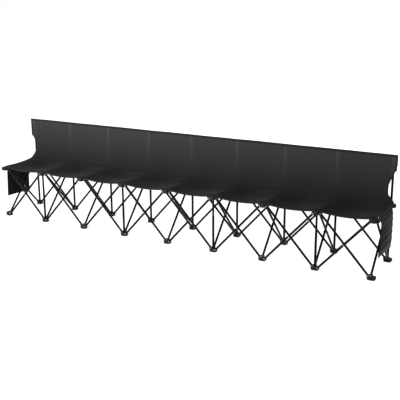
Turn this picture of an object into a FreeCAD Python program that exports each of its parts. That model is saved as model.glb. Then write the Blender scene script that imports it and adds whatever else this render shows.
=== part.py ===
import FreeCAD
import Part
import math
import os

# Folding team bench: a frame of crossed tubes that closes like a concertina,
# with one cloth seat and back over it and a cloth pocket at each end.
# X runs along the bench, the front faces -Y and the feet stand on Z = 0.

V = FreeCAD.Vector
os.makedirs("parts", exist_ok=True)

# Driving sizes, in millimetres
SEATS = 8
PITCH = 440.0             # from one station to the next
DEPTH = 440.0             # from the front row of hubs to the rear row
HUB_HEIGHT = 472.0        # top of the front hubs
BACK_HEIGHT = 861.0       # top of the back
POST_STATIONS = (1, 3, 5, 7)

# Crossed bars
BAR_R = 9.0
BAR_TAIL = 6.5            # how far a bar runs on past its end pivot
BAR_GAP = 0.3             # between the two bars of a crossed pair
RUNNING = 0.05            # clearance of a bar in its slot

# Uprights and telescopic posts
TUBE_R = 9.5
TUBE_WALL = 1.0
SLIDE_CLEAR = 0.08
UPRIGHT_END = 4.0         # the upright stops this far under the top of the back
POST_SPLIT = 300.0        # top of the lower half of a post
POST_FOOT = 60.0          # lower end of the upper half of a post

# Moulded hub, one shape for the feet, the front hubs and the sliders
PIVOT_X = 25.0            # from the station's centre line to a bar's pivot
PIVOT_H = 22.0            # from the moulding's outer face to a pivot
CHEEK = 3.5
CHEEK_R = 11.0
CHEEK_CUT = 9.0           # what is cut off a cheek's far corners
CORE = 13.0
PAD_REACH = 27.0
PAD_T = 6.0
PAD_CHAMFER = 6.0

# Cloth
CLOTH = 2.4
CLEAR = 0.3               # between cloth and what it doesn't move with
HUB_FLAT = 32.0           # from a station to where the cloth leaves its hub
SEAT_SAG = 23.0           # how far the seat hangs between two hubs
SEAT_CORNER = 6.0         # how far the seat's front corners run out past the end stations
FRONT_HEM = 17.0
CREASE_SAG = 17.0         # how far the crease between seat and back hangs there
CREASE_R = 52.0
BACK_BILLOW = 12.0        # how far the back bellies to the rear between uprights
SLEEVE = 130.0            # length of the pockets that hold the tube ends
BACK_OVERHANG = 36.0      # how far the back runs out past the end uprights
END_CUT = 24.0            # how far inside the end uprights the back's edge swings
POCKET_GAP = 2.0          # from the end hub to the pocket beside it
POCKET_DROP = 285.0
POCKET_SLOPE = 30.0       # how much lower the pocket hangs at its rear corner
POCKET_BULGE = 28.0
POCKET_HEM = 4.0
POCKET_FRONT = 48.0       # from the front hub's centre line to the pocket
POCKET_REAR = 68.0        # from the pocket to the upright's centre line

# Worked out from the sizes above
BAR_OFFSET = BAR_R + BAR_GAP / 2
PIVOT_LOW = PIVOT_H
PIVOT_TOP = HUB_HEIGHT - PIVOT_H
RISE = PIVOT_TOP - PIVOT_LOW
ARM_END = PIVOT_X + CHEEK_R
SLOT_NEAR = BAR_OFFSET - BAR_R - RUNNING
SLOT_FAR = BAR_OFFSET + BAR_R + RUNNING
SIDE = SLOT_FAR + CHEEK
ROW_SHIFT = (CLEAR + CLOTH) / 2    # the hem stands out in front, so the rows lie behind centre
Y_FRONT = ROW_SHIFT - DEPTH / 2
Y_REAR = ROW_SHIFT + DEPTH / 2
STATIONS = range(SEATS + 1)
BAYS = range(SEATS)


def station_x(i):
    return (i - SEATS / 2) * PITCH


def save(name, solids):
    Part.makeCompound(solids).exportStep(f"parts/{name}.step")


def fuse(solids):
    return solids[0].multiFuse(solids[1:]).removeSplitter()


def box(x0, x1, y0, y1, z0, z1):
    return Part.makeBox(x1 - x0, y1 - y0, z1 - z0, V(x0, y0, z0))


def outline(points):
    return Part.makePolygon(points + points[:1])


def closed(ends):
    """A closed outline from a list of points, where three points in a tuple make an arc."""
    edges = []
    last = ends[-1][-1] if isinstance(ends[-1], tuple) else ends[-1]
    for end in ends:
        first = end[0] if isinstance(end, tuple) else end
        if first.distanceToPoint(last) > 1e-6:
            edges.append(Part.makeLine(last, first))
        if isinstance(end, tuple):
            edges.append(Part.Arc(*end).toShape())
            first = end[-1]
        last = first
    return Part.Wire(edges)


def prism(wire, way):
    return Part.Face(wire).extrude(way)


def placed(shape, at, turn_axis=None, angle=0.0):
    out = shape.copy()
    if turn_axis is not None:
        out.rotate(V(0, 0, 0), turn_axis, angle)
    out.translate(at)
    return out


# The moulded hub lies with its outer face on Z = 0 and its depth arm towards +Y.


def cheek(start, inner):
    """A cheek of an arm along +X, its inner face at a given Y."""
    top = PIVOT_H + CHEEK_R
    x, c = ARM_END, CHEEK_CUT
    side = ((start, 0), (x - c, 0), (x, c), (x, top - c / 2), (x - c / 2, top), (start, top))
    return prism(outline([V(x, inner, z) for x, z in side]), V(0, CHEEK, 0))


def arm(inner_start, outer_start):
    """The two cheeks of an arm along +X, whose bar lies on the +Y side of the arm's plane."""
    return [cheek(inner_start, SLOT_NEAR - CHEEK), cheek(outer_start, SLOT_FAR)]


def moulding(bore=0.0):
    """The hub that takes two row bars and one depth bar, with a bore right through if asked."""
    x, y0, y1 = PAD_REACH, -SIDE, PAD_REACH
    c = PAD_CHAMFER
    corners = [
        V(x - c, y0, 0), V(x, y0 + c, 0), V(x, y1 - c, 0), V(x - c, y1, 0),
        V(c - x, y1, 0), V(-x, y1 - c, 0), V(-x, y0 + c, 0), V(c - x, y0, 0),
    ]
    root = CORE - CHEEK
    solids = [prism(outline(corners), V(0, 0, PAD_T))]
    solids.append(box(-CORE, CORE, -SIDE, CORE, 0, PIVOT_H + CHEEK_R))
    for shape in arm(root, root):
        solids.append(placed(shape, V(0, 0, 0)).mirror(V(0, 0, 0), V(0, 1, 0)))
    for shape in arm(root, SLOT_FAR):
        solids.append(placed(shape, V(0, 0, 0)).mirror(V(0, 0, 0), V(1, 0, 0)))
        solids.append(placed(shape, V(0, 0, 0), V(0, 0, 1), 90))
    hub = fuse(solids)
    if bore:
        hub = hub.cut(Part.makeCylinder(bore, PIVOT_H + 2 * CHEEK_R))
    return hub


# Frame pieces


def rod(radius, z0, z1, x, y):
    return Part.makeCylinder(radius, z1 - z0, V(x, y, z0))


def base(i):
    """What stands on the floor at a station: two feet, the upright and a post's lower half."""
    x = station_x(i)
    seat = PIVOT_H + CHEEK_R
    front = placed(moulding(), V(x, Y_FRONT, 0))
    rear = placed(moulding(), V(x, Y_REAR, 0), V(0, 0, 1), 180)
    if i in POST_STATIONS:
        post = rod(TUBE_R, seat, POST_SPLIT, x, Y_FRONT)
        hollow = rod(TUBE_R - TUBE_WALL, seat, POST_SPLIT, x, Y_FRONT)
        front = front.fuse(post).cut(hollow)
    return [front, rear.fuse(rod(TUBE_R, seat, BACK_HEIGHT - UPRIGHT_END, x, Y_REAR))]


def head(i):
    """What rises when the bench folds: the front hub, the slider and a post's upper half."""
    x = station_x(i)
    front = placed(moulding(), V(x, Y_FRONT, HUB_HEIGHT), V(0, 1, 0), 180)
    slider = placed(moulding(TUBE_R + SLIDE_CLEAR), V(0, 0, HUB_HEIGHT), V(0, 1, 0), 180)
    if i in POST_STATIONS:
        inner_r = TUBE_R - TUBE_WALL - SLIDE_CLEAR
        seat = HUB_HEIGHT - PIVOT_H - CHEEK_R
        front = front.fuse(rod(inner_r, POST_FOOT, seat, x, Y_FRONT))
    return [front, placed(slider, V(x, Y_REAR, 0), V(0, 0, 1), 180)]


def bar(span, behind):
    """A bar in the X-Z plane that rises towards +X over a span between its pivots.

    It lies just behind the plane Y = 0, or just in front of it.
    """
    length = math.hypot(span, RISE)
    lean = math.degrees(math.atan2(span, RISE))
    y = BAR_OFFSET if behind else -BAR_OFFSET
    solid = rod(BAR_R, -BAR_TAIL, length + BAR_TAIL, 0, y)
    solid.rotate(V(0, 0, 0), V(0, 1, 0), lean)
    return solid


def row_bars(i, rising):
    """The front and rear bars of one bay that lean the same way and turn together."""
    one = bar(PITCH - 2 * PIVOT_X, not rising)
    x = station_x(i) + PIVOT_X
    if not rising:
        one = one.mirror(V(0, 0, 0), V(1, 0, 0))
        x = station_x(i + 1) - PIVOT_X
    return [placed(one, V(x, y, PIVOT_LOW)) for y in (Y_FRONT, Y_REAR)]


def depth_bar(i, backward):
    """The bar from the front foot up to the slider, or from the rear foot up to the front hub."""
    one = bar(DEPTH - 2 * PIVOT_X, not backward)
    y = Y_FRONT + PIVOT_X
    if backward:
        one.rotate(V(0, 0, 0), V(0, 0, 1), 90)
        one = one.mirror(V(0, 0, 0), V(1, 0, 0))
    else:
        one.rotate(V(0, 0, 0), V(0, 0, 1), -90)
        y = Y_REAR - PIVOT_X
    return [placed(one, V(station_x(i), y, PIVOT_LOW))]


# Cloth pieces


SEAT_Z = HUB_HEIGHT + CLEAR + CLOTH
SEAT_FRONT = Y_FRONT - SIDE - CLEAR - CLOTH
BACK_FACE = Y_REAR - TUBE_R - CLEAR - CLOTH
SEAT_REAR = BACK_FACE - CREASE_R
SLEEVE_REACH = TUBE_R + CLEAR + CLOTH


def scallop(y, z, tilt, belly, reach, thick=CLOTH):
    """Closed outline across the bench: flat over the hubs, with an arc from hub to hub.

    The sheet's face looks up at a tilt of 0 and to the front at a tilt of 90 degrees.
    """
    face = V(0, -math.sin(math.radians(tilt)), math.cos(math.radians(tilt)))
    ends = []
    xs = [station_x(i) for i in STATIONS]
    for x0, x1 in zip(xs, xs[1:]):
        x0, x1 = x0 + HUB_FLAT, x1 - HUB_FLAT
        middle = V((x0 + x1) / 2, y, z) - face * belly
        ends.append((V(x0, y, z), middle, V(x1, y, z)))
    below = [tuple(p - face * thick for p in reversed(arc)) for arc in reversed(ends)]
    left, right = V(xs[0] - reach, y, z), V(xs[-1] + reach, y, z)
    return closed(
        [left] + ends + [right, right - face * thick] + below + [left - face * thick]
    )


def sheet(sections):
    return Part.makeLoft(sections, True, True)


def seat_cover():
    """The seat hangs from hub to hub, each bay a shallow hammock, with a hem down its front."""
    depth = SEAT_REAR - SEAT_FRONT
    corner = SEAT_CORNER
    middle = (corner + BACK_OVERHANG) / 2
    course = ((0.0, SEAT_SAG, corner), (0.5, SEAT_SAG, middle), (1.0, CREASE_SAG, BACK_OVERHANG))
    sections = [
        scallop(SEAT_FRONT + share * depth, SEAT_Z, 0, sag, reach) for share, sag, reach in course
    ]
    hem = prism(
        scallop(SEAT_FRONT, SEAT_Z, 0, SEAT_SAG, corner, FRONT_HEM), V(0, CLOTH, 0)
    )
    return fuse([sheet(sections), hem])


def sleeve(x):
    """The pocket behind the back that holds the top end of an upright."""
    z0 = BACK_HEIGHT - SLEEVE
    r = TUBE_R + CLEAR
    t = CLOTH
    return box(x - r - t, x + r + t, BACK_FACE + t, Y_REAR + r + t, z0, BACK_HEIGHT).cut(
        box(x - r, x + r, BACK_FACE + t, Y_REAR + r, z0, BACK_HEIGHT - t)
    )


def back_cover():
    """The back hangs from the uprights and turns forward into the seat at the crease.

    Below the sleeves its ends are cut away from the end uprights.
    """
    turn = CREASE_R - CLEAR
    low = SEAT_Z
    cut_top = BACK_HEIGHT - SLEEVE
    panel = (
        (BACK_HEIGHT, 0.3 * BACK_BILLOW, BACK_OVERHANG),
        (cut_top, BACK_BILLOW, BACK_OVERHANG),
        ((cut_top + low + turn) / 2, BACK_BILLOW, -END_CUT),
    )
    crease = ((90, 0.0), (60, 0.4), (30, 0.8), (0, 1.0))
    sections = [scallop(BACK_FACE, z, 90, belly, reach) for z, belly, reach in panel]
    for tilt, share in crease:
        angle = math.radians(tilt)
        y = BACK_FACE - turn + turn * math.sin(angle)
        z = low + turn - turn * math.cos(angle)
        sections.append(scallop(y, z, tilt, CREASE_SAG, share * BACK_OVERHANG))
    return fuse([sheet(sections)] + [sleeve(station_x(i)) for i in STATIONS])


def pocket_section(z, near, bulge, y0, y1, fold, slope):
    """Outline across a pocket: a flat inner side and two bulges that meet at a fold."""
    hem = near + POCKET_HEM
    valley = y0 + fold * (y1 - y0)
    inlet = hem + 0.55 * bulge

    def at(x, y):
        return V(x, y, z - slope * (y - y0) / (y1 - y0))

    return closed([
        at(near, y0),
        at(near, y1),
        (at(hem, y1), at(hem + bulge, (y1 + valley) / 2), at(inlet, valley)),
        (at(inlet, valley), at(hem + 0.9 * bulge, (valley + y0) / 2), at(hem, y0)),
    ])


def end_pocket(side):
    """The pocket that hangs beside an end seat, with one slanting fold."""
    near = station_x(SEATS) + ARM_END + POCKET_GAP
    top = SEAT_Z - CLOTH - CLEAR
    y0 = Y_FRONT + POCKET_FRONT
    y1 = Y_REAR - POCKET_REAR
    shape = ((0.0, 0.3, 0.35), (0.4, 0.85, 0.45), (0.75, 1.0, 0.55), (1.0, 0.35, 0.62))
    bag = sheet([
        pocket_section(
            top - drop * POCKET_DROP, near, bulge * POCKET_BULGE, y0, y1, fold, drop * POCKET_SLOPE
        )
        for drop, bulge, fold in shape
    ])
    if side < 0:
        bag = bag.mirror(V(0, 0, 0), V(1, 0, 0))
    return bag


for i in STATIONS:
    save(f"base_{i}", base(i))
    save(f"head_{i}", head(i))
    save(f"depth_bar_back_{i}", depth_bar(i, True))
    save(f"depth_bar_front_{i}", depth_bar(i, False))
for i in BAYS:
    save(f"row_bars_rising_{i}", row_bars(i, True))
    save(f"row_bars_falling_{i}", row_bars(i, False))
save("seat_cover", [seat_cover(), end_pocket(-1), end_pocket(1)])
save("back_cover", [back_cover()])
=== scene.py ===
import math
from collections import Counter

import bpy
import numpy as np
from mathutils import Matrix, Vector


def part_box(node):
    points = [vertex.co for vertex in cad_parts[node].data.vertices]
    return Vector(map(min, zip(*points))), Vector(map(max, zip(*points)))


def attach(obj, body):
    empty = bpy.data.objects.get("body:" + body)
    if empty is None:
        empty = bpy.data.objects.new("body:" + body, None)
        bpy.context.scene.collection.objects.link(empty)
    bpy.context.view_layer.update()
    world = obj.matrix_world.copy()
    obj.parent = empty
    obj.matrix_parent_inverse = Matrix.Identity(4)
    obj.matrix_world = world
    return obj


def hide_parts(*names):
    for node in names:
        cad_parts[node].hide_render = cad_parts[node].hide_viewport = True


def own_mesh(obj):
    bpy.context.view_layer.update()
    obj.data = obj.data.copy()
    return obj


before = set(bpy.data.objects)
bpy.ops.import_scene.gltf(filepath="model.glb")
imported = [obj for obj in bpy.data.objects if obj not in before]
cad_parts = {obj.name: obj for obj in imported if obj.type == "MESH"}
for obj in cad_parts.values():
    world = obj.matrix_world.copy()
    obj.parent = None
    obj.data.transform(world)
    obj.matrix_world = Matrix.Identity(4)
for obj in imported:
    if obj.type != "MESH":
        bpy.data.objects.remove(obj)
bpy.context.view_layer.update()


# Sizes in metres, the same as in the part's source. X runs along the bench, and +Y to its rear.


def middle_x(name):
    low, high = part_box(name)
    return (low.x + high.x) / 2


BAYS = 8
STATIONS = range(BAYS + 1)
station_x = [middle_x(f"base_{i}") for i in STATIONS]
END_X = station_x[-1]
PITCH = station_x[1] - station_x[0]
Y_FRONT = -0.21865        # the row of front feet and hubs
Y_REAR = 0.22135          # the row of rear feet, hubs and uprights
HUB_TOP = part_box("head_4")[1].z
HUB_DEEP = 0.033          # height of a hub or foot
TUBE_R = 0.0095
PIVOT_X = 0.025           # from a hub's centre to the pivots in its arms
PIVOT_H = 0.022           # from a hub's top or a foot's sole to its pivots
SIDE = 0.0217             # from a hub arm's plane to its outer cheek
NEAR_SIDE = 0.0034        # and to its inner cheek
BAR_SIDE = 0.01815        # from a crossing's plane to the outside of its two bars
BACK_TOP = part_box("back_cover")[1].z

# The cloth's lines, as seen from the end of the bench
CLOTH_T = 0.0016
SEAT_Z = HUB_TOP + 0.0027
FRONT_EDGE = Y_FRONT - 0.007
EDGE_R = 0.004            # rounding of the seat's front edge
SEAT_START = FRONT_EDGE + EDGE_R
BACK_FACE = 0.20915       # where the back stands, along Y
CREASE_R = 0.0517         # bend from the seat up to the back
SEAT_REAR = BACK_FACE - CREASE_R
HEM = 0.011               # depth of the seat's front hem
END_HEM = 0.012           # width of the hems at the ends
OVERHANG = 0.036          # how far the cloth runs out past the end stations
CORNER = 0.005            # how far it does at the seat's front corners
SEAM = 0.017              # from an upright's centre line to the stitching beside it

# How far the cloth sags in a bay's middle, and how far it lies flat beside a station
FRONT_SAG = 0.015
SEAT_SAG = 0.020
SEAT_BELLY = 0.026
CREASE_SAG = 0.017
BACK_BILLOW = 0.012
BACK_UPPER_SAG = 0.007
TOP_SAG = 0.0036
HUB_FLAT = 0.030
BACK_FLAT = 0.012
TOP_FLAT = 0.014
SEAT_DIP = 0.006          # how much lower the middle of the seat is, also at a station
END_DROOP = 0.005         # how much the seat's free ends sink

# Hems and tape: their thickness, and how far they lie above the cloth
HEM_T = 0.0026
TOP_HEM_T = 0.0030
HEM_LIFT = 0.0007
END_HEM_LIFT = 0.0006

# The sleeves behind the back
SLEEVE_T = 0.0012
SLEEVE_LONG = 0.127
SLEEVE_TOP = BACK_TOP - 0.003
SLEEVE_LOW = SLEEVE_TOP - SLEEVE_LONG
SLEEVE_SIDE = 0.030       # half its width
SLEEVE_ROOM = 0.0016      # between an upright and the sleeve around it
SLEEVE_FACE = BACK_FACE + 0.0020    # where its flat sides lie against the back

# The pockets beside the end seats
POCKET_T = 0.0014
POCKET_HEM_T = 0.0034
POCKET_NEAR = END_X + 0.039    # the plane that both panels hang in
POCKET_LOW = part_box("seat_cover")[0].z
POCKET_FRONT = Y_FRONT + 0.048
POCKET_REAR = Y_REAR - 0.084
POCKET_MOUTH = 0.009      # how far its top edge gapes
POCKET_DROP = 0.0015      # from the seat's surface down to the pocket's top edge
POCKET_BULGE = 0.026      # how far its outer panel stands out
POCKET_SLOPE = 0.021      # how much higher its lower front corner is than its rear one

# Weave and stitching
THREAD = 0.0016           # one wave of the weave
RIB = 0.0022              # one rib of the edge tape
STITCH = 0.0045           # one stitch with its gap
STITCH_SHOWS = 0.62       # the share of it where the thread lies on top
STITCH_HALF = 0.0007      # half the width of a row of stitches
TAPE_STITCH = 0.004       # from the tape's edge to its row of stitches
GROOVE = 0.004            # how far the stitches draw the cloth in on either side


def add_object(name, data):
    item = bpy.data.objects.new(name, data)
    bpy.context.scene.collection.objects.link(item)
    return item


# Camera, at the angle of the photograph

LENS = 68.3               # in millimetres
CAMERA_AT = Vector((3.190, -5.408, 2.112))
YAW = math.radians(-28.956)
TILT = math.radians(-15.907)
ROLL = math.radians(-0.365)


def add_camera():
    ahead = Vector((
        math.sin(YAW) * math.cos(TILT),
        math.cos(YAW) * math.cos(TILT),
        math.sin(TILT),
    ))
    level = Vector((math.cos(YAW), -math.sin(YAW), 0))
    upward = level.cross(ahead)
    right = level * math.cos(ROLL) + upward * math.sin(ROLL)
    up = upward * math.cos(ROLL) - level * math.sin(ROLL)
    data = bpy.data.cameras.new("camera")
    data.sensor_width = 36
    data.sensor_fit = "HORIZONTAL"
    data.lens = LENS
    camera = add_object("camera", data)
    turn = Matrix((right, up, -ahead)).transposed().to_4x4()
    camera.matrix_world = Matrix.Translation(CAMERA_AT) @ turn
    bpy.context.scene.camera = camera


# Materials, all from nodes


class Graph:
    """The nodes of a material or of the world, with short calls for the few kinds used here."""

    def __init__(self, owner):
        owner.use_nodes = True
        self.owner = owner
        self.tree = owner.node_tree

    def put(self, socket, value):
        """Sets a socket to a value, or links another node's output to it."""
        if isinstance(value, bpy.types.NodeSocket):
            self.tree.links.new(value, socket)
        else:
            socket.default_value = value

    def node(self, kind, **settings):
        node = self.tree.nodes.new(kind)
        for key, value in settings.items():
            setattr(node, key, value)
        return node

    def math(self, operation, a, b=0.0, c=0.0, clamp=False):
        node = self.node("ShaderNodeMath", operation=operation, use_clamp=clamp)
        for socket, value in zip(node.inputs, (a, b, c)):
            self.put(socket, value)
        return node.outputs[0]

    def share(self, value, low, high):
        """How far a value has come from low to high, from 0 to 1."""
        return self.math("DIVIDE", self.math("SUBTRACT", value, low), high - low, clamp=True)

    def distance(self, value, centre):
        return self.math("ABSOLUTE", self.math("SUBTRACT", value, centre))

    def ramp(self, value, start, end, low, high):
        """Runs from low to high while a value goes from start to end."""
        node = self.node("ShaderNodeMapRange")
        self.put(node.inputs["Value"], value)
        self.put(node.inputs["From Min"], start)
        self.put(node.inputs["From Max"], end)
        self.put(node.inputs["To Min"], low)
        self.put(node.inputs["To Max"], high)
        return node.outputs[0]

    def noise(self, scale, detail, stretch=None):
        coords = self.node("ShaderNodeTexCoord").outputs["Object"]
        if stretch:
            mapping = self.node("ShaderNodeMapping")
            self.put(mapping.inputs["Vector"], coords)
            self.put(mapping.inputs["Scale"], stretch)
            coords = mapping.outputs[0]
        noise = self.node("ShaderNodeTexNoise")
        self.put(noise.inputs["Vector"], coords)
        self.put(noise.inputs["Scale"], scale)
        self.put(noise.inputs["Detail"], detail)
        return noise.outputs[0]

    def cloth_place(self):
        """Two values: the place across the cloth and along it, in metres."""
        place = self.node("ShaderNodeSeparateXYZ")
        self.put(place.inputs[0], self.node("ShaderNodeUVMap").outputs[0])
        return place.outputs[0], place.outputs[1]

    def wave(self, value, length):
        return self.math("SINE", self.math("MULTIPLY", value, 2 * math.pi / length))

    def stitches(self, from_row, along):
        """1 where the thread of a row of stitches shows, else 0."""
        line = self.math("LESS_THAN", from_row, STITCH_HALF)
        step = self.math("FRACT", self.math("DIVIDE", along, STITCH))
        return self.math("MULTIPLY", line, self.math("LESS_THAN", step, STITCH_SHOWS))

    def blend(self, share, first, second):
        mix = self.node("ShaderNodeMix", data_type="RGBA")
        self.put(mix.inputs[0], share)
        self.put(mix.inputs[6], first)
        self.put(mix.inputs[7], second)
        return mix.outputs[2]

    def bump(self, height, strength, distance, below=None):
        """Relief from a height, over the relief below it."""
        bump = self.node("ShaderNodeBump")
        self.put(bump.inputs["Strength"], strength)
        self.put(bump.inputs["Distance"], distance)
        self.put(bump.inputs["Height"], height)
        if below is not None:
            self.put(bump.inputs["Normal"], below)
        return bump.outputs[0]

    def finish(self, colour, rough, normal, **plain):
        """Sets up the material's shader, with the plain values on its own sockets."""
        shader = self.tree.nodes["Principled BSDF"]
        self.put(shader.inputs["Base Color"], colour)
        self.put(shader.inputs["Roughness"], rough)
        self.put(shader.inputs["Normal"], normal)
        for key, value in plain.items():
            shader.inputs[key.replace("_", " ")].default_value = value
        return self.owner


def new_graph(name):
    return Graph(bpy.data.materials.new(name))


def grey(level, blue=1.0):
    return (level, level, level * blue, 1)


def dye(level):
    """The black of the cloth, a touch bluer than grey."""
    return grey(level, 1.03)


def cloth_material(name, level, shine=0.06, nap=0.04, rough=0.9, seams_and_painted_light=False):
    """Tight plain weave, uneven in tone, with loose fibres and small wrinkles."""
    g = new_graph(name)
    u, v = g.cloth_place()
    weave = g.math("MULTIPLY", g.wave(u, THREAD), g.wave(v, THREAD))
    patch = g.noise(scale=2.2, detail=3.0)
    fibre = g.noise(scale=900.0, detail=2.0, stretch=(1.0, 1.0, 4.0))
    wrinkles = g.noise(scale=14.0, detail=4.0)
    colour = g.blend(patch, dye(level * 0.88), dye(level * 1.12))
    colour = g.blend(g.math("MULTIPLY", fibre, 0.35), colour, dye(level * 1.5))
    normal = g.bump(weave, strength=0.25, distance=0.0004)
    normal = g.bump(wrinkles, strength=0.35, distance=0.004, below=normal)
    if seams_and_painted_light:
        colour, normal = painted_light_and_seams(g, u, v, level, colour, normal)
    return g.finish(
        colour, rough, normal, Sheen_Weight=nap, Sheen_Roughness=0.5, Specular_IOR_Level=shine
    )


def painted_light_and_seams(g, u, v, level, colour, normal):
    """The back's stitching and painted light: painted shade darkens it towards the seat, and over
    every upright it has a strip of painted highlight that gets paler towards the top, with a row
    of stitches in a shallow groove on both sides."""
    bay = g.math("DIVIDE", g.math("ADD", u, PITCH / 2 - station_x[0]), PITCH)
    off = g.math("MULTIPLY", g.distance(g.math("FRACT", bay), 0.5), PITCH)
    # Painted shade: the back's colour drops to a third at the crease and lightens towards the top.
    fade = g.math("POWER", g.share(v, CREASE_RUN, TOP_RUN), 0.8)
    colour = g.blend(fade, dye(level * 0.32), colour)

    # Painted highlight: a strip over every upright, painted paler towards the top.
    height = g.share(v, SEAM_FOOT, TOP_RUN)
    highlight_strip = g.math("POWER", g.math("DIVIDE", off, SEAM, clamp=True), 4.0)
    highlight_strip = g.math("SUBTRACT", 1.0, highlight_strip)
    top = g.math("POWER", height, 5.0)
    painted_highlight = g.math("MULTIPLY_ADD", top, 0.30, g.math("MULTIPLY", height, 0.24))
    colour = g.blend(g.math("MULTIPLY", highlight_strip, painted_highlight), colour, dye(level * 2.1))

    sewn = g.math("GREATER_THAN", height, 0.0)
    from_seam = g.distance(off, SEAM)
    stitch = g.math("MULTIPLY", g.stitches(from_seam, v), sewn)
    colour = g.blend(stitch, colour, dye(level * 1.25))
    groove = g.math("SUBTRACT", 1.0, g.math("DIVIDE", from_seam, GROOVE), clamp=True)
    groove = g.math("MULTIPLY", g.math("MULTIPLY", groove, -1.0), sewn)
    normal = g.bump(groove, strength=0.4, distance=0.0010, below=normal)
    normal = g.bump(stitch, strength=0.5, distance=0.0005, below=normal)
    return colour, normal


def tape_material(name, level):
    """Folded edge tape, with ribs across it and a row of stitches along it."""
    g = new_graph(name)
    u, v = g.cloth_place()
    stitch = g.stitches(g.distance(v, TAPE_STITCH), u)
    patch = g.noise(scale=30.0, detail=3.0)
    colour = g.blend(patch, grey(level * 0.85), grey(level * 1.15))
    colour = g.blend(stitch, colour, grey(level * 2.4))
    normal = g.bump(g.wave(u, RIB), strength=0.3, distance=0.0004)
    normal = g.bump(stitch, strength=0.8, distance=0.0006, below=normal)
    return g.finish(colour, 0.8, normal, Sheen_Weight=0.03, Specular_IOR_Level=0.08)


def paint_material():
    """Black powder coat: glossy, with the coat's fine orange peel and a few dull rubbed places."""
    g = new_graph("powder_coat")
    peel = g.noise(scale=420.0, detail=2.0)
    rubbed = g.noise(scale=6.0, detail=4.0)
    scratches = g.noise(scale=160.0, detail=3.0)
    worn = g.math("MULTIPLY", g.math("GREATER_THAN", rubbed, 0.68), scratches)
    colour = g.blend(worn, grey(0.002, 1.05), grey(0.02))
    rough = g.math("MULTIPLY_ADD", rubbed, 0.12, 0.14)
    normal = g.bump(peel, strength=0.12, distance=0.0004)
    return g.finish(colour, rough, normal, Specular_IOR_Level=0.055)


def plastic_material():
    """Black moulded plastic with a spark-eroded grain, paler where it is scuffed."""
    g = new_graph("moulded_plastic")
    grain = g.noise(scale=1400.0, detail=1.0)
    scuffs = g.noise(scale=55.0, detail=5.0)
    colour = g.blend(g.math("MULTIPLY", scuffs, 0.5), grey(0.005), grey(0.025))
    rough = g.math("MULTIPLY_ADD", scuffs, 0.25, 0.28)
    normal = g.bump(grain, strength=0.25, distance=0.0003)
    return g.finish(colour, rough, normal, Specular_IOR_Level=0.12)


def steel_material():
    """Zinc-plated steel of the rivets."""
    g = new_graph("rivet_steel")
    blotch = g.noise(scale=240.0, detail=3.0)
    colour = g.blend(blotch, grey(0.12), (0.26, 0.26, 0.27, 1))
    rough = g.math("MULTIPLY_ADD", blotch, 0.2, 0.25)
    normal = g.bump(blotch, strength=0.2, distance=0.0003)
    return g.finish(colour, rough, normal, Metallic=1.0)


# The cloth's shape: rows run from the front hem over the seat, up the crease and the back

DOWN = (0.0, -1.0)
REARWARD = (1.0, 0.0)


def smooth(t):
    t = np.clip(t, 0.0, 1.0)
    return t * t * (3 - 2 * t)


def between(x, marks):
    """Smooth steps between (x, value) marks."""
    if x <= marks[0][0]:
        return marks[0][1]
    for (x0, v0), (x1, v1) in zip(marks, marks[1:]):
        if x <= x1:
            return v0 + (v1 - v0) * float(smooth((x - x0) / (x1 - x0)))
    return marks[-1][1]


class Row:
    """One line of the cloth across the bench.

    tilt: the cloth's slope there in degrees, 0 on the seat and 90 on the back.
    sag: how far the line hangs in a bay's middle; flat: how far it lies level beside a station.
    soft: from 0, a sag that starts firmly at the hubs, to 1, a gentle wave.
    reach: how far the line runs out past the end stations, one value or (left, right).
    hang: the way in which it sags, away from the front face where none is given.
    droop: how far its free ends sink.
    """

    def __init__(self, y, z, tilt, sag, flat, soft, reach, hang=None, droop=0.0):
        a = math.radians(tilt)
        self.y, self.z = y, z
        self.normal = (-math.sin(a), math.cos(a))
        self.hang = hang or (math.sin(a), -math.cos(a))
        self.sag, self.flat, self.soft = sag, flat, soft
        self.reach = reach if isinstance(reach, tuple) else (reach, reach)
        self.droop = droop
        self.run = 0.0        # distance along the cloth from its front hem


def seat_share(y):
    return (y - SEAT_START) / (SEAT_REAR - SEAT_START)


def seat_end(share):
    """How far the seat's end runs out past the end station, and how much it sinks there."""
    t = min(max(share, 0.0), 1.0)
    reach = between(t, ((-0.35, CORNER), (0.5, 0.026), (1.2, OVERHANG)))
    return reach, END_DROOP * math.sin(math.pi * t) ** 0.8


def edge_row(y, z, tilt):
    """A row of the seat's front hem and edge, which sags firmly between the hubs."""
    return Row(y, z, tilt, sag=FRONT_SAG, flat=HUB_FLAT, soft=0, reach=CORNER, hang=DOWN)


def seat_rows():
    """The front hem, the rounding over the edge, and the seat up to the crease."""
    rows = []
    hem_steps = 4
    for k in range(hem_steps):
        z = SEAT_Z - HEM + k * (HEM - EDGE_R) / hem_steps
        rows.append(edge_row(FRONT_EDGE, z, 90))
    for tilt in (90, 68, 45, 22):
        a = math.radians(tilt)
        y = FRONT_EDGE + EDGE_R * (1 - math.sin(a))
        z = SEAT_Z - EDGE_R * (1 - math.cos(a))
        rows.append(edge_row(y, z, tilt))
    steps = 36
    for k in range(steps + 1):
        t = k / steps         # from the front edge to the crease
        y = SEAT_START + t * (SEAT_REAR - SEAT_START)
        z = SEAT_Z - between(t, ((0.2, 0.0), (0.55, SEAT_DIP), (1, 0.0)))
        sag = between(t, ((-0.1, FRONT_SAG), (0.2, SEAT_SAG), (0.5, SEAT_BELLY), (1, CREASE_SAG)))
        flat = between(t, ((0.08, HUB_FLAT), (0.25, 0.003)))
        soft = float(smooth((t - 0.25) / 0.65))
        reach, droop = seat_end(t)
        rows.append(Row(y, z, 0, sag, flat, soft, reach, hang=DOWN, droop=droop))
    return rows


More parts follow.
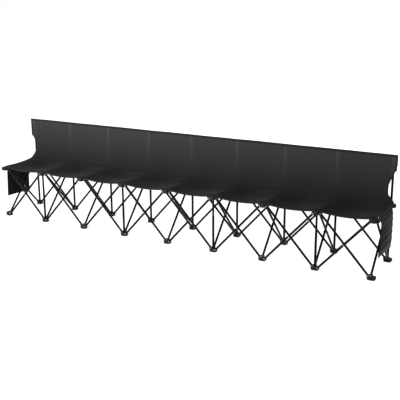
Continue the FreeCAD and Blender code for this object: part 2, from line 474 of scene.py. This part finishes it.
def back_reach(z):
    """How far the back runs out past its left and right end uprights at a height."""
    low = (SEAT_Z, seat_end(1)[0])
    left = (low, (0.566, -0.004), (0.640, -0.004), (0.668, 0.004), (0.706, 0.034))
    right = (low, (0.556, -0.025), (0.596, -0.026), (0.790, 0.034))
    return between(z, left), between(z, right)


def back_rows():
    """The crease, the back, and the rounding at its top."""
    rows = []
    bends = 14
    for k in range(bends + 1):
        a = math.pi / 2 * k / bends
        y = SEAT_REAR + CREASE_R * math.sin(a)
        z = SEAT_Z + CREASE_R * (1 - math.cos(a))
        tilt = math.degrees(a)
        rows.append(Row(y, z, tilt, CREASE_SAG, HUB_FLAT, soft=1.0, reach=back_reach(z)))
    steps = 40
    low = SEAT_Z + CREASE_R
    for k in range(1, steps + 1):
        t = k / steps         # from the crease to the top
        z = low + t * (BACK_TOP - EDGE_R / 2 - low)
        sag = between(
            t, ((0, CREASE_SAG), (0.4, BACK_BILLOW), (0.85, BACK_UPPER_SAG), (1, TOP_SAG))
        )
        flat = between(t, ((0, HUB_FLAT), (0.35, BACK_FLAT), (1, TOP_FLAT)))
        soft = 1 - 0.5 * float(smooth(t / 0.6))
        rows.append(Row(BACK_FACE, z, 90, sag, flat, soft, back_reach(z)))
    for tilt in (70, 40):
        a = math.radians(tilt)
        y = BACK_FACE + EDGE_R / 2 * (1 - math.sin(a))
        z = BACK_TOP - EDGE_R / 2 * (1 - math.cos(a))
        rows.append(
            Row(y, z, tilt, TOP_SAG, TOP_FLAT, soft=0.5, reach=back_reach(z), hang=REARWARD)
        )
    return rows


def measure(rows, start=0.0):
    """Gives each row its distance along the cloth, and returns the last one's."""
    rows[0].run = start
    for before, row in zip(rows, rows[1:]):
        row.run = before.run + math.hypot(row.y - before.y, row.z - before.z)
    return rows[-1].run


SEAT, BACK = seat_rows(), back_rows()
CREASE_RUN = measure(SEAT)
TOP_RUN = measure(BACK, CREASE_RUN)
SEAM_FOOT = CREASE_RUN + 0.10    # the seams begin this far above the crease
FRONT_HEM_ROWS = 7        # rows that the front hem covers
TOP_HEM_ROWS = 5


def hung(x, row):
    """How much of the sag a point has, from 0 at a station to 1 in a bay's middle."""
    s = (x - station_x[0]) / PITCH
    inside = (s > 0) & (s < BAYS)
    d = np.abs(s - np.floor(s) - 0.5) * PITCH
    firm = np.clip(1 - (d / (PITCH / 2 - row.flat)) ** 2, 0, 1)
    gentle = np.cos(np.pi * d / PITCH) ** 2
    return np.where(inside, (1 - row.soft) * firm + row.soft * gentle, 0.0)


# Folds that fan out from a hub: direction in radians, height, length and width
FANS = (
    (0.35, 0.0016, 0.17, 0.010),
    (0.95, 0.0013, 0.13, 0.008),
    (1.50, 0.0020, 0.20, 0.011),
    (2.15, 0.0014, 0.14, 0.008),
    (2.75, 0.0012, 0.16, 0.010),
)
FAN_BASE = 0.04           # on the back they start this far above the seat
BACK_SHARE = 0.55         # and have this share of their height on the seat


def creases(x, y, z, on_seat):
    """Heights of the small folds that fan out from the hubs, and of the soft ones that cross
    the bays. A small fold bends aside, widens and fades out along its length."""
    fans = np.zeros_like(x)
    for i in STATIONS:
        for k, (angle, high, long, wide) in enumerate(FANS):
            wobble = math.sin(12.9 * i + 7.7 * k)    # from -1 to 1, another for each fold
            turn = angle + 0.16 * wobble
            dx = x - station_x[i]
            dy = (y - Y_FRONT) if on_seat else (z - SEAT_Z - FAN_BASE)
            along = dx * math.cos(turn) + dy * math.sin(turn)
            bend = 0.02 * (along / long) ** 2 * wobble
            aside = -dx * math.sin(turn) + dy * math.cos(turn) - bend
            width = wide * (1 + 2.2 * np.clip(along / long, 0, 1))
            fade = smooth(along / 0.05) * (1 - smooth(along / (long * (1.3 + 0.4 * wobble))))
            size = high * (1 + 0.5 * wobble) * (1.0 if on_seat else BACK_SHARE)
            fans += size * np.exp(-((aside / width) ** 2)) * fade
    broad = (
        np.sin(9.0 * x + 14.0 * (y + z) + 0.8 * np.sin(5.0 * x)) * 0.0009
        + np.sin(23.0 * x - 17.0 * (y + z)) * 0.0004
    )
    return fans, broad


FOLDS_FROM = 0.03         # the seat's folds fade in over this much cloth behind its first row
FANS_FROM = 0.05          # and the back's fans over this height above the seat
CALM_ENDS = 0.75          # the folds lose this share
CALM_OVER = 0.04          # over this length past the end stations
DROOP_FROM = 0.05         # the seat's ends begin to sink this far before the end stations
DROOP_OVER = 0.08         # and do it over this length


def cloth_points(rows, across, on_seat, lift=0.0):
    """The cloth's points on these rows, where a row's reach gives its columns' places, and where
    each point lies on the flat cloth."""
    points, places = [], []
    for row in rows:
        x = across(row.reach)
        share = hung(x, row)
        y = row.y + row.hang[0] * row.sag * share
        z = row.z + row.hang[1] * row.sag * share
        past_end = np.clip((np.abs(x) - END_X) / CALM_OVER, 0, 1)
        fans, broad = creases(x, y, z, on_seat)
        if on_seat:
            fold = (fans + broad) * smooth((row.run - rows[0].run) / FOLDS_FROM)
        else:
            fold = fans * smooth((z - SEAT_Z) / FANS_FROM) + broad
        out = lift + fold * (1 - CALM_ENDS * past_end)
        y = y + row.normal[0] * out
        z = z + row.normal[1] * out
        if on_seat:
            z = z - row.droop * smooth((np.abs(x) - END_X + DROOP_FROM) / DROOP_OVER)
        points.extend(zip(x, y, z))
        places.extend((px, row.run) for px in x)
    return points, places


def all_across(reach):
    """Columns over the whole width, drawn in or let out near its two ends."""
    columns = 320
    end_part = 0.11           # the part beside an end station that the reach moves
    full = END_X + OVERHANG
    x = np.linspace(-full, full, columns)
    over = np.clip(np.abs(x) - (END_X - end_part), 0, None)
    share = (end_part + np.where(x < 0, reach[0], reach[1])) / (end_part + OVERHANG)
    return np.sign(x) * (np.abs(x) - over + over * share)


def left_edge(reach):
    return -END_X - reach[0] + np.linspace(0, END_HEM, 5)


def right_edge(reach):
    return END_X + reach[1] - np.linspace(END_HEM, 0, 5)


def grid(name, points, places, width, material):
    """A mesh of quads from points in rows, smooth inside and sharp at its rim. Each point's place
    on the flat cloth is its place in the texture."""
    count = len(points) // width
    faces = [
        (r * width + c, r * width + c + 1, (r + 1) * width + c + 1, (r + 1) * width + c)
        for r in range(count - 1) for c in range(width - 1)
    ]
    mesh = bpy.data.meshes.new(name)
    mesh.from_pydata([tuple(float(a) for a in p) for p in points], [], faces)
    uv = mesh.uv_layers.new(name="cloth")
    for loop in mesh.loops:
        uv.data[loop.index].uv = places[loop.vertex_index]
    mesh.polygons.foreach_set("use_smooth", [True] * len(mesh.polygons))
    mesh.materials.append(material)
    mesh.update()
    faces_at = Counter(key for polygon in mesh.polygons for key in polygon.edge_keys)
    for edge in mesh.edges:
        edge.use_edge_sharp = faces_at[edge.key] == 1
    return add_object(name, mesh)


def turn_over(piece):
    for polygon in piece.data.polygons:
        polygon.flip()


def thicken(piece, thick, offset=0.0):
    """Makes cloth of a surface: on both sides of it, or behind it with an offset of -1."""
    solid = piece.modifiers.new("thickness", "SOLIDIFY")
    solid.thickness = thick
    solid.offset = offset


def folds_up(piece, body):
    """The piece rides on a body, with a mesh of its own."""
    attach(piece, body)
    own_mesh(piece)


def cover(name, rows, material, on_seat):
    """The seat's or the back's cloth, with its front or upper face on the rows."""
    points, places = cloth_points(rows, all_across, on_seat)
    piece = grid(name, points, places, len(points) // len(rows), material)
    thicken(piece, CLOTH_T, offset=-1.0)
    return piece


def band(name, rows, across, on_seat, lift, thick):
    """A hem of tape that lies on the cloth along these rows."""
    points, places = cloth_points(rows, across, on_seat, lift)
    places = [(px, run - rows[0].run) for px, run in places]
    piece = grid(name, points, places, len(points) // len(rows), cloth["tape"])
    thicken(piece, thick)
    folds_up(piece, "head_4" if on_seat else "base_4")
    return piece


def seat_and_back():
    seat = cover("seat_cloth", SEAT, cloth["seat"], True)
    back = cover("back_cloth", BACK, cloth["back"], False)

    front, top = SEAT[:FRONT_HEM_ROWS], BACK[-TOP_HEM_ROWS:]
    seat_side, back_side = SEAT[FRONT_HEM_ROWS:], BACK[:1 - TOP_HEM_ROWS]
    seat_trim = [band("seat_front_hem", front, all_across, True, HEM_LIFT, HEM_T)]
    back_trim = [band("back_top_hem", top, all_across, False, HEM_LIFT, TOP_HEM_T)]
    for side, edge in (("left", left_edge), ("right", right_edge)):
        seat_trim.append(
            band(f"seat_end_hem_{side}", seat_side, edge, True, END_HEM_LIFT, HEM_T)
        )
        back_trim.append(
            band(f"back_end_hem_{side}", back_side, edge, False, END_HEM_LIFT, HEM_T)
        )

    folds_up(seat, "head_4")
    folds_up(back, "base_4")
    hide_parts("seat_cover")
    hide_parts("back_cover")


def sleeve(i):
    """The cloth sleeve behind the back that an upright's top end stands in. Its flat sides are
    sewn to the back, and it closes at the top."""
    around = TUBE_R + SLEEVE_ROOM
    columns, levels = 24, 22
    profile = []
    for k in range(columns + 1):
        x = -SLEEVE_SIDE + 2 * SLEEVE_SIDE * k / columns
        hump = math.sqrt(max(around ** 2 - x ** 2, 0.0))
        skirt = math.exp(-((max(abs(x) - around * 0.8, 0.0) / 0.006) ** 2))
        profile.append((x, SLEEVE_FACE + (Y_REAR - SLEEVE_FACE) * skirt + hump * 0.98))
    points, places = [], []
    for r in range(levels + 1):
        t = r / levels        # from the sleeve's mouth to its closed top
        z = SLEEVE_LOW + t * SLEEVE_LONG
        close = 1 - 0.85 * float(smooth((t - 0.93) / 0.07))
        gape = 0.0008 * (1 - t) ** 2
        for k, (x, y) in enumerate(profile):
            middle = math.sin(math.pi * k / columns)
            ripple = 0.0004 * math.sin(61.0 * t + 1.7 * i) * middle
            depth = (y - SLEEVE_FACE + gape * middle + ripple) * close
            points.append((station_x[i] + x, SLEEVE_FACE + max(depth, 0.0), z))
            places.append((x, z - SLEEVE_LOW))
    piece = grid(f"sleeve_{i}", points, places, len(profile), cloth["sleeve"])
    turn_over(piece)
    thicken(piece, SLEEVE_T)
    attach(piece, f"base_{i}")


def pocket(side, body, front, swing):
    """The pocket beside an end seat: a flat inner panel and a full outer one with slanting folds.
    It begins at front, and its lower front corner swings forward."""
    columns, levels, hem_levels = 34, 36, 4
    width = 2 * columns + 1
    long = POCKET_REAR - front
    tall = SEAT_Z - POCKET_DROP - POCKET_LOW

    def bulge(a, b):
        """How far the outer panel stands out at a share a to the rear and b down."""
        ends = math.sin(math.pi * a) ** 0.55 if 0 < a < 1 else 0.0
        fall = between(b, ((0, 0.25), (0.40, 0.70), (0.8, 0.86), (1.0, 0.10)))
        slant = 6.2 * b + 0.9 * a + 0.25 * math.sin(5.0 * a)
        fold = 0.30 * math.sin(2 * math.pi * slant)
        fold += 0.14 * math.sin(2 * math.pi * (1.7 * slant + 0.3))
        bunched = math.sin(math.pi * min(b / 0.8, 1.0)) ** 0.6    # no folds at the hems
        return POCKET_BULGE * ends * fall * (0.86 + fold * bunched)

    def spot(a, b, out, gape):
        """A point of a panel: it hangs from the seat's end, and leans out to its own plane."""
        y = front + a * long
        reach, droop = seat_end(seat_share(y))
        lean = float(smooth(b / 0.16))
        x = (END_X + reach + gape) * (1 - lean) + (POCKET_NEAR + out) * lean
        pinch = 0.006 * math.sin(math.pi * a) * b ** 2
        fall = gape * (1 - b) + b * (tall - POCKET_SLOPE * (1 - a))
        z = SEAT_Z - droop - POCKET_DROP - fall + pinch
        return side * x, y - b * (swing * (1 - a) + 0.010 * a), z

    points, places = [], []
    for r in range(levels + 1):
        b = r / levels
        for c in range(width):
            if c <= columns:
                a = c / columns
                ripple = 0.0012 * math.sin(7 * a + 5 * b) * math.sin(math.pi * a)
                out = 0.0014 + ripple * (1 - b)
                gape = 0.0
            else:
                a = 2 - c / columns
                out = 0.003 + bulge(a, b)
                gape = POCKET_MOUTH * math.sin(math.pi * min(max(a, 0), 1)) ** 0.5
            points.append(spot(a, b, out, gape))
            places.append((c / columns * long, b * tall))
    piece = grid(f"pocket_{body}", points, places, width, cloth["pocket"])
    if side > 0:
        turn_over(piece)
    thicken(piece, POCKET_T)
    hem_end = width * hem_levels
    hem = grid(f"pocket_hem_{body}", points[:hem_end], places[:hem_end], width, cloth["tape"])
    thicken(hem, POCKET_HEM_T)
    for item in (piece, hem):
        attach(item, body)
    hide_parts("seat_cover")


# Rivets

# Radius and height of a rivet head's rings, from its washer's edge to its dome
HEAD_RINGS = (
    (0.0066, 0.0), (0.0066, 0.0007), (0.0048, 0.0008), (0.0043, 0.0016), (0.0026, 0.0024)
)
HEAD_HIGH = 0.0027
HEAD_SIDES = 12


def rivet_head(points, faces, at, way):
    """Adds a domed rivet head with its washer, standing on a point and looking one way."""
    one = way.orthogonal().normalized()
    two = way.cross(one)
    start = len(points)
    for radius, height in HEAD_RINGS:
        for k in range(HEAD_SIDES):
            a = 2 * math.pi * k / HEAD_SIDES
            ring = one * radius * math.cos(a) + two * radius * math.sin(a)
            points.append(at + way * height + ring)
    points.append(at + way * HEAD_HIGH)
    tip = len(points) - 1
    last = start + (len(HEAD_RINGS) - 1) * HEAD_SIDES
    for low in range(start, last, HEAD_SIDES):
        high = low + HEAD_SIDES
        for k in range(HEAD_SIDES):
            n = (k + 1) % HEAD_SIDES
            faces.append((low + k, low + n, high + n, high + k))
    for k in range(HEAD_SIDES):
        faces.append((last + k, last + (k + 1) % HEAD_SIDES, tip))


def rivets(name, body, pins):
    """Rivets through a body's pivots, each from one point to another."""
    points, faces = [], []
    for a, b in pins:
        way = (b - a).normalized()
        rivet_head(points, faces, a, -way)
        rivet_head(points, faces, b, way)
    mesh = bpy.data.meshes.new(name)
    mesh.from_pydata([tuple(p) for p in points], [], faces)
    mesh.polygons.foreach_set("use_smooth", [True] * len(mesh.polygons))
    mesh.materials.append(steel)
    piece = add_object(name, mesh)
    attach(piece, body)


def has_bay(i, side):
    return i < BAYS if side > 0 else i > 0


def hub_pins(i, rear, top):
    """The pins in one hub's or foot's arms. Front hubs and rear feet have their arms the other
    way round, and at the end stations they show only the pin of the arm to the other row."""
    mirrored = rear != top
    pins = []
    for side in (1, -1):
        if has_bay(i, side) and has_bay(i, -side if mirrored else side):
            y0, y1 = (-SIDE, NEAR_SIDE) if side > 0 else (-NEAR_SIDE, SIDE)
            pins.append([Vector((side * PIVOT_X, y, PIVOT_H)) for y in (y0, y1)])
    pins.append([Vector((x, PIVOT_X, PIVOT_H)) for x in (-SIDE, NEAR_SIDE)])
    turn = Matrix.Identity(3)
    if top:
        turn = Matrix.Rotation(math.pi, 3, "Y")
    if rear:
        turn = Matrix.Rotation(math.pi, 3, "Z") @ turn
    centre = Vector((station_x[i], Y_REAR if rear else Y_FRONT, HUB_TOP if top else 0))
    return [[turn @ p + centre for p in ends] for ends in pins]


def all_rivets():
    middle_z = HUB_TOP / 2
    for i in STATIONS:
        for part, top in (("base", False), ("head", True)):
            pins = hub_pins(i, False, top) + hub_pins(i, True, top)
            rivets(f"rivets_{part}_{i}", f"{part}_{i}", pins)
        y = (Y_FRONT + Y_REAR) / 2
        pin = [Vector((station_x[i] + s * BAR_SIDE, y, middle_z)) for s in (-1, 1)]
        rivets(f"rivet_depth_{i}", f"depth_front_{i}", [pin])
    for i in range(BAYS):
        x = (station_x[i] + station_x[i + 1]) / 2
        pins = [
            [Vector((x, y + s * BAR_SIDE, middle_z)) for s in (-1, 1)] for y in (Y_FRONT, Y_REAR)
        ]
        rivets(f"rivets_row_{i}", f"falling_{i}", pins)


# Finish of the frame's own pieces

PLASTIC, PAINT = 0, 1
PAST_HUB = 0.0005         # a tube's faces begin this far beyond the moulding
AROUND_TUBE = 0.0003      # and their middles lie within this of its radius


def is_tube(name, at, x):
    """Whether a face of a base or a head is part of a painted tube and not of a moulding."""
    on_front = math.hypot(at.x - x, at.y - Y_FRONT) < TUBE_R + AROUND_TUBE
    on_rear = math.hypot(at.x - x, at.y - Y_REAR) < TUBE_R + AROUND_TUBE
    if name.startswith("base"):
        return at.z > HUB_DEEP + PAST_HUB and (on_front or on_rear)
    return at.z < HUB_TOP - HUB_DEEP - PAST_HUB and on_front


def dress_frame():
    for name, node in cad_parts.items():
        if "cover" in name:
            continue
        mesh = node.data
        mesh.materials.clear()
        if "bar" in name:
            mesh.materials.append(paint)
            continue
        mesh.materials.append(plastic)
        mesh.materials.append(paint)
        x = station_x[int(name.split("_")[-1])]
        for polygon in mesh.polygons:
            polygon.material_index = PAINT if is_tube(name, polygon.center, x) else PLASTIC


# Floor, world and lamps


def shows_white(g):
    """1 where the camera, a reflection or something seen through looks at it, else 0."""
    path = g.node("ShaderNodeLightPath")
    seen = path.outputs["Is Camera Ray"]
    for kind in ("Is Glossy Ray", "Is Transmission Ray"):
        seen = g.math("MAXIMUM", seen, path.outputs[kind])
    return seen


def add_floor():
    """A pale floor that keeps the bench's shadow. It glows where it is looked at, and a little
    less near the bench, where the lamps add to it."""
    far = 30.0
    corners = [(-far, -far, 0), (far, -far, 0), (far, far, 0), (-far, far, 0)]
    mesh = bpy.data.meshes.new("floor")
    mesh.from_pydata(corners, [], [(0, 1, 2, 3)])
    floor = add_object("floor", mesh)
    g = new_graph("floor")
    shader = g.tree.nodes["Principled BSDF"]
    g.put(shader.inputs["Base Color"], grey(0.75))
    g.put(shader.inputs["Roughness"], 0.9)
    g.put(shader.inputs["Specular IOR Level"], 0.0)
    away = g.node("ShaderNodeVectorMath", operation="LENGTH")
    g.put(away.inputs[0], g.node("ShaderNodeTexCoord").outputs["Object"])
    whiter = g.ramp(away.outputs["Value"], 1.0, 4.0, 0.80, 1.0)
    glow = g.node("ShaderNodeEmission")
    g.put(glow.inputs["Color"], grey(1.0))
    g.put(glow.inputs["Strength"], g.math("MULTIPLY", shows_white(g), whiter))
    both = g.node("ShaderNodeAddShader")
    g.put(both.inputs[0], shader.outputs[0])
    g.put(both.inputs[1], glow.outputs[0])
    g.put(g.tree.nodes["Material Output"].inputs["Surface"], both.outputs[0])
    mesh.materials.append(g.owner)


def add_world():
    """White to look at, and a dim light on the bench."""
    world = bpy.data.worlds.new("studio")
    bpy.context.scene.world = world
    g = Graph(world)
    background = g.tree.nodes["Background"]
    g.put(background.inputs["Color"], grey(1.0))
    g.put(background.inputs["Strength"], g.ramp(shows_white(g), 0.0, 1.0, 0.18, 1.0))


def add_lamp(name, at, aim, wide, tall, power):
    """A rectangular lamp that stands at one point and is aimed at another, its power in watts."""
    data = bpy.data.lights.new(name, "AREA")
    data.shape = "RECTANGLE"
    data.size = wide
    data.size_y = tall
    data.energy = power
    lamp = add_object(name, data)
    lamp.location = at
    lamp.rotation_euler = (Vector(aim) - Vector(at)).to_track_quat("-Z", "Y").to_euler()


add_camera()
add_floor()
add_world()
add_lamp("key", at=(-1.4, -3.7, 1.45), aim=(-0.4, 0.2, 0.7), wide=2.4, tall=1.0, power=197)
add_lamp("side", at=(5.2, -1.6, 3.4), aim=(1.8, 0, 0.3), wide=1.2, tall=1.2, power=34)
add_lamp("edge", at=(3.6, 5.0, 2.3), aim=(1.8, 0, 0.3), wide=1.5, tall=1.5, power=9)
add_lamp("rim", at=(0.0, 6.0, 3.0), aim=(0, 0, 0.5), wide=5.0, tall=2.0, power=130)
bpy.context.scene.view_settings.view_transform = "Standard"

cloth = {
    # Painted shade: the seat is the same cloth as the back, painted about a third as bright.
    "seat": cloth_material("seat_weave_painted_shade", 0.0110, shine=0.03, nap=0.03),
    "back": cloth_material("back_weave_painted_light", 0.037, seams_and_painted_light=True),
    "sleeve": cloth_material("sleeve_weave", 0.034),
    "pocket": cloth_material("pocket_weave", 0.0075, shine=0.04, nap=0.02, rough=0.55),
    "tape": tape_material("edge_tape", 0.018),
}
paint, plastic, steel = paint_material(), plastic_material(), steel_material()

dress_frame()
seat_and_back()
for i in STATIONS:
    sleeve(i)
pocket(-1, "head_0", front=POCKET_FRONT + 0.012, swing=0.018)
pocket(1, "head_8", front=POCKET_FRONT, swing=0.046)
all_rivets()

bpy.context.view_layer.update()
